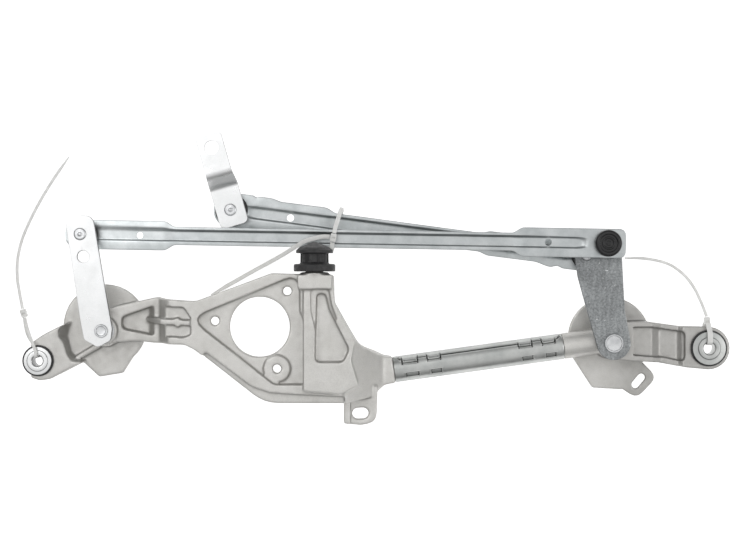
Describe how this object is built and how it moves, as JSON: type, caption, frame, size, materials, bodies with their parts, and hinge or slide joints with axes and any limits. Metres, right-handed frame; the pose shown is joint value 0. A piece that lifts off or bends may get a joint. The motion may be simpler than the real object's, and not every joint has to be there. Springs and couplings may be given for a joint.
{
  "type": "windshield wiper linkage",
  "caption": "Windshield wiper linkage frame with a motor plate, a crimped tube, wiper shafts with levers, a cross rod, a motor rod and a loose crank.",
  "frame": {"origin": "centre of the left body bolt's sleeve, at its lower face, which sits on the car body", "axes": "+X runs along the linkage from the left bolt to the right one, +Z runs along the bolts and shafts from the wiper side to the motor side"},
  "size_m": [0.5743, 0.2334, 0.1292],
  "materials": {
    "casting": "die-cast, lightly shot-blasted, satin",
    "tube": "zinc-plated rolled steel",
    "bright_zinc": "bright zinc plating",
    "blue_zinc": "blue-passivated zinc plating",
    "mottled_zinc": "dull mottled zinc plating",
    "shaft_steel": "turned steel, lightly plated",
    "rubber": "moulded matt rubber",
    "black_plastic": "moulded satin plastic",
    "bush": "sintered bronze",
    "nylon": "natural nylon, slightly translucent"
  },
  "bodies": {
    "frame": {"motor_bracket_casting": "casting", "right_pivot_casting": "casting", "frame_tube": "tube", "left_ear_grommet": "rubber", "left_ear_sleeve": "bright_zinc", "right_ear_grommet": "rubber", "right_ear_sleeve": "tube", "locating_grommet": "rubber", "left_upper_bush": "bush", "left_lower_bush": "bush", "right_upper_bush": "bush", "right_lower_bush": "bush", "left_tie_loop": "nylon", "left_tie_tail": "nylon", "left_tie_head": "nylon", "right_tie_loop": "nylon", "right_tie_tail": "nylon", "right_tie_head": "nylon"},
    "right_lever": {"right_lever_plate": "mottled_zinc", "right_wiper_shaft": "shaft_steel", "right_upper_thrust_washer": "shaft_steel", "right_lower_thrust_washer": "shaft_steel", "right_circlip": "shaft_steel", "right_front_ball_stud": "shaft_steel", "right_back_ball_stud": "shaft_steel"},
    "left_lever": {"left_lever_plate": "bright_zinc", "left_wiper_shaft": "shaft_steel", "left_upper_thrust_washer": "shaft_steel", "left_lower_thrust_washer": "shaft_steel", "left_circlip": "shaft_steel", "left_ball_stud": "shaft_steel"},
    "cross_rod": {"cross_rod_plate": "blue_zinc", "left_ball_socket": "black_plastic", "left_ball_boot": "rubber", "right_front_ball_socket": "black_plastic", "right_front_ball_boot": "rubber", "centre_tie_loop": "nylon", "centre_tie_tail": "nylon", "centre_tie_head": "nylon"},
    "motor_rod": {"motor_rod_plate": "blue_zinc", "right_back_ball_socket": "black_plastic", "right_back_ball_boot": "rubber", "crank_ball_socket": "black_plastic", "crank_ball_boot": "rubber"},
    "crank_arm": {"crank_arm_plate": "bright_zinc", "crank_ball_stud": "shaft_steel"}
  },
  "joints": [
    {"name": "right_wiper_pivot", "type": "hinge", "parent": "frame", "child": "right_lever", "pos_m": [0.4576, 0.0135, 0], "axis": [0, 0, 1], "range_deg": [-62, 24]},
    {"name": "left_wiper_pivot", "type": "hinge", "parent": "frame", "child": "left_lever", "pos_m": [0.0525, 0.0242, 0], "axis": [0, 0, 1], "range_deg": [-62.4, 24.2]},
    {"name": "cross_rod_joint", "type": "hinge", "parent": "right_lever", "child": "cross_rod", "pos_m": [0.4509, 0.093, 0], "axis": [0, 0, 1], "range_deg": [-23.5, 60.6]},
    {"name": "motor_rod_joint", "type": "hinge", "parent": "right_lever", "child": "motor_rod", "pos_m": [0.436, 0.0835, 0], "axis": [0, 0, 1], "range_deg": [-25, 64.6]},
    {"name": "crank_joint", "type": "hinge", "parent": "motor_rod", "child": "crank_arm", "pos_m": [0.1519, 0.1199, 0], "axis": [0, 0, 1], "range_deg": [-82, 50]}
  ],
  "couplings": [
    {"joint": "left_wiper_pivot", "follows": "right_wiper_pivot", "ratio": 1.005},
    {"joint": "cross_rod_joint", "follows": "right_wiper_pivot", "ratio": -0.975},
    {"joint": "motor_rod_joint", "follows": "right_wiper_pivot", "ratio": -1.04}
  ]
}
